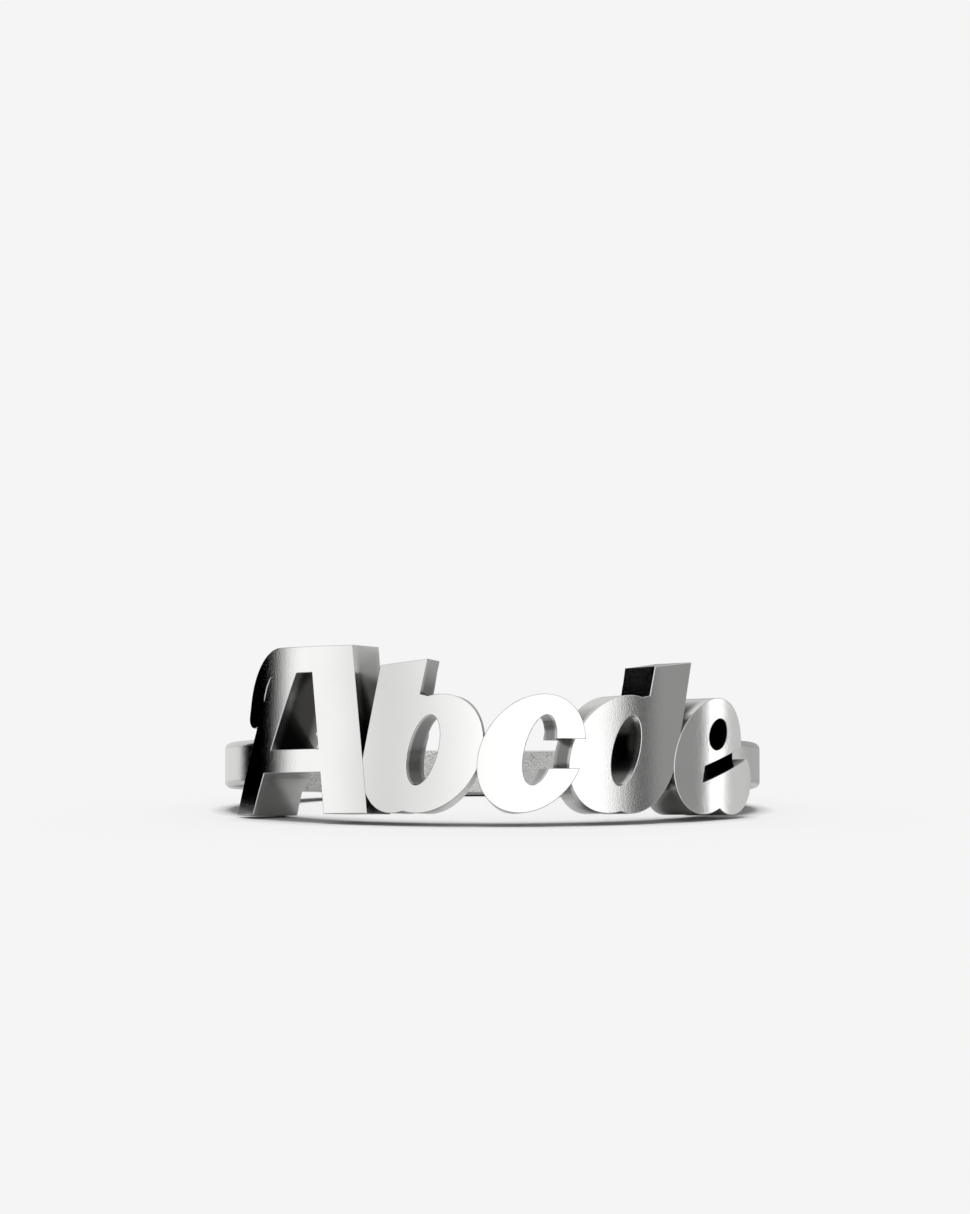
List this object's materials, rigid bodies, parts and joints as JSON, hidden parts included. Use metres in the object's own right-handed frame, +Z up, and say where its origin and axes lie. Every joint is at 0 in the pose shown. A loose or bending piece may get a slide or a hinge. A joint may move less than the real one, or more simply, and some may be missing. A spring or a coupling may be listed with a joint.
{
  "type": "name ring",
  "caption": "Polished finger ring whose narrow band carries a front of bold leaning cut-through letters, lying on its side.",
  "frame": {"origin": "on the floor under the middle of the ring's box, the ring lying on its side", "axes": "+Z up, the letters face -Y and read from -X to +X, the plain back of the band is towards +Y"},
  "size_m": [0.0202, 0.0208, 0.0064],
  "materials": {
    "polished_silver": "polished sterling silver, fine cast grain on the walls and inside the bore"
  },
  "bodies": {
    "root": {"name_ring": "polished_silver"}
  },
  "joints": []
}
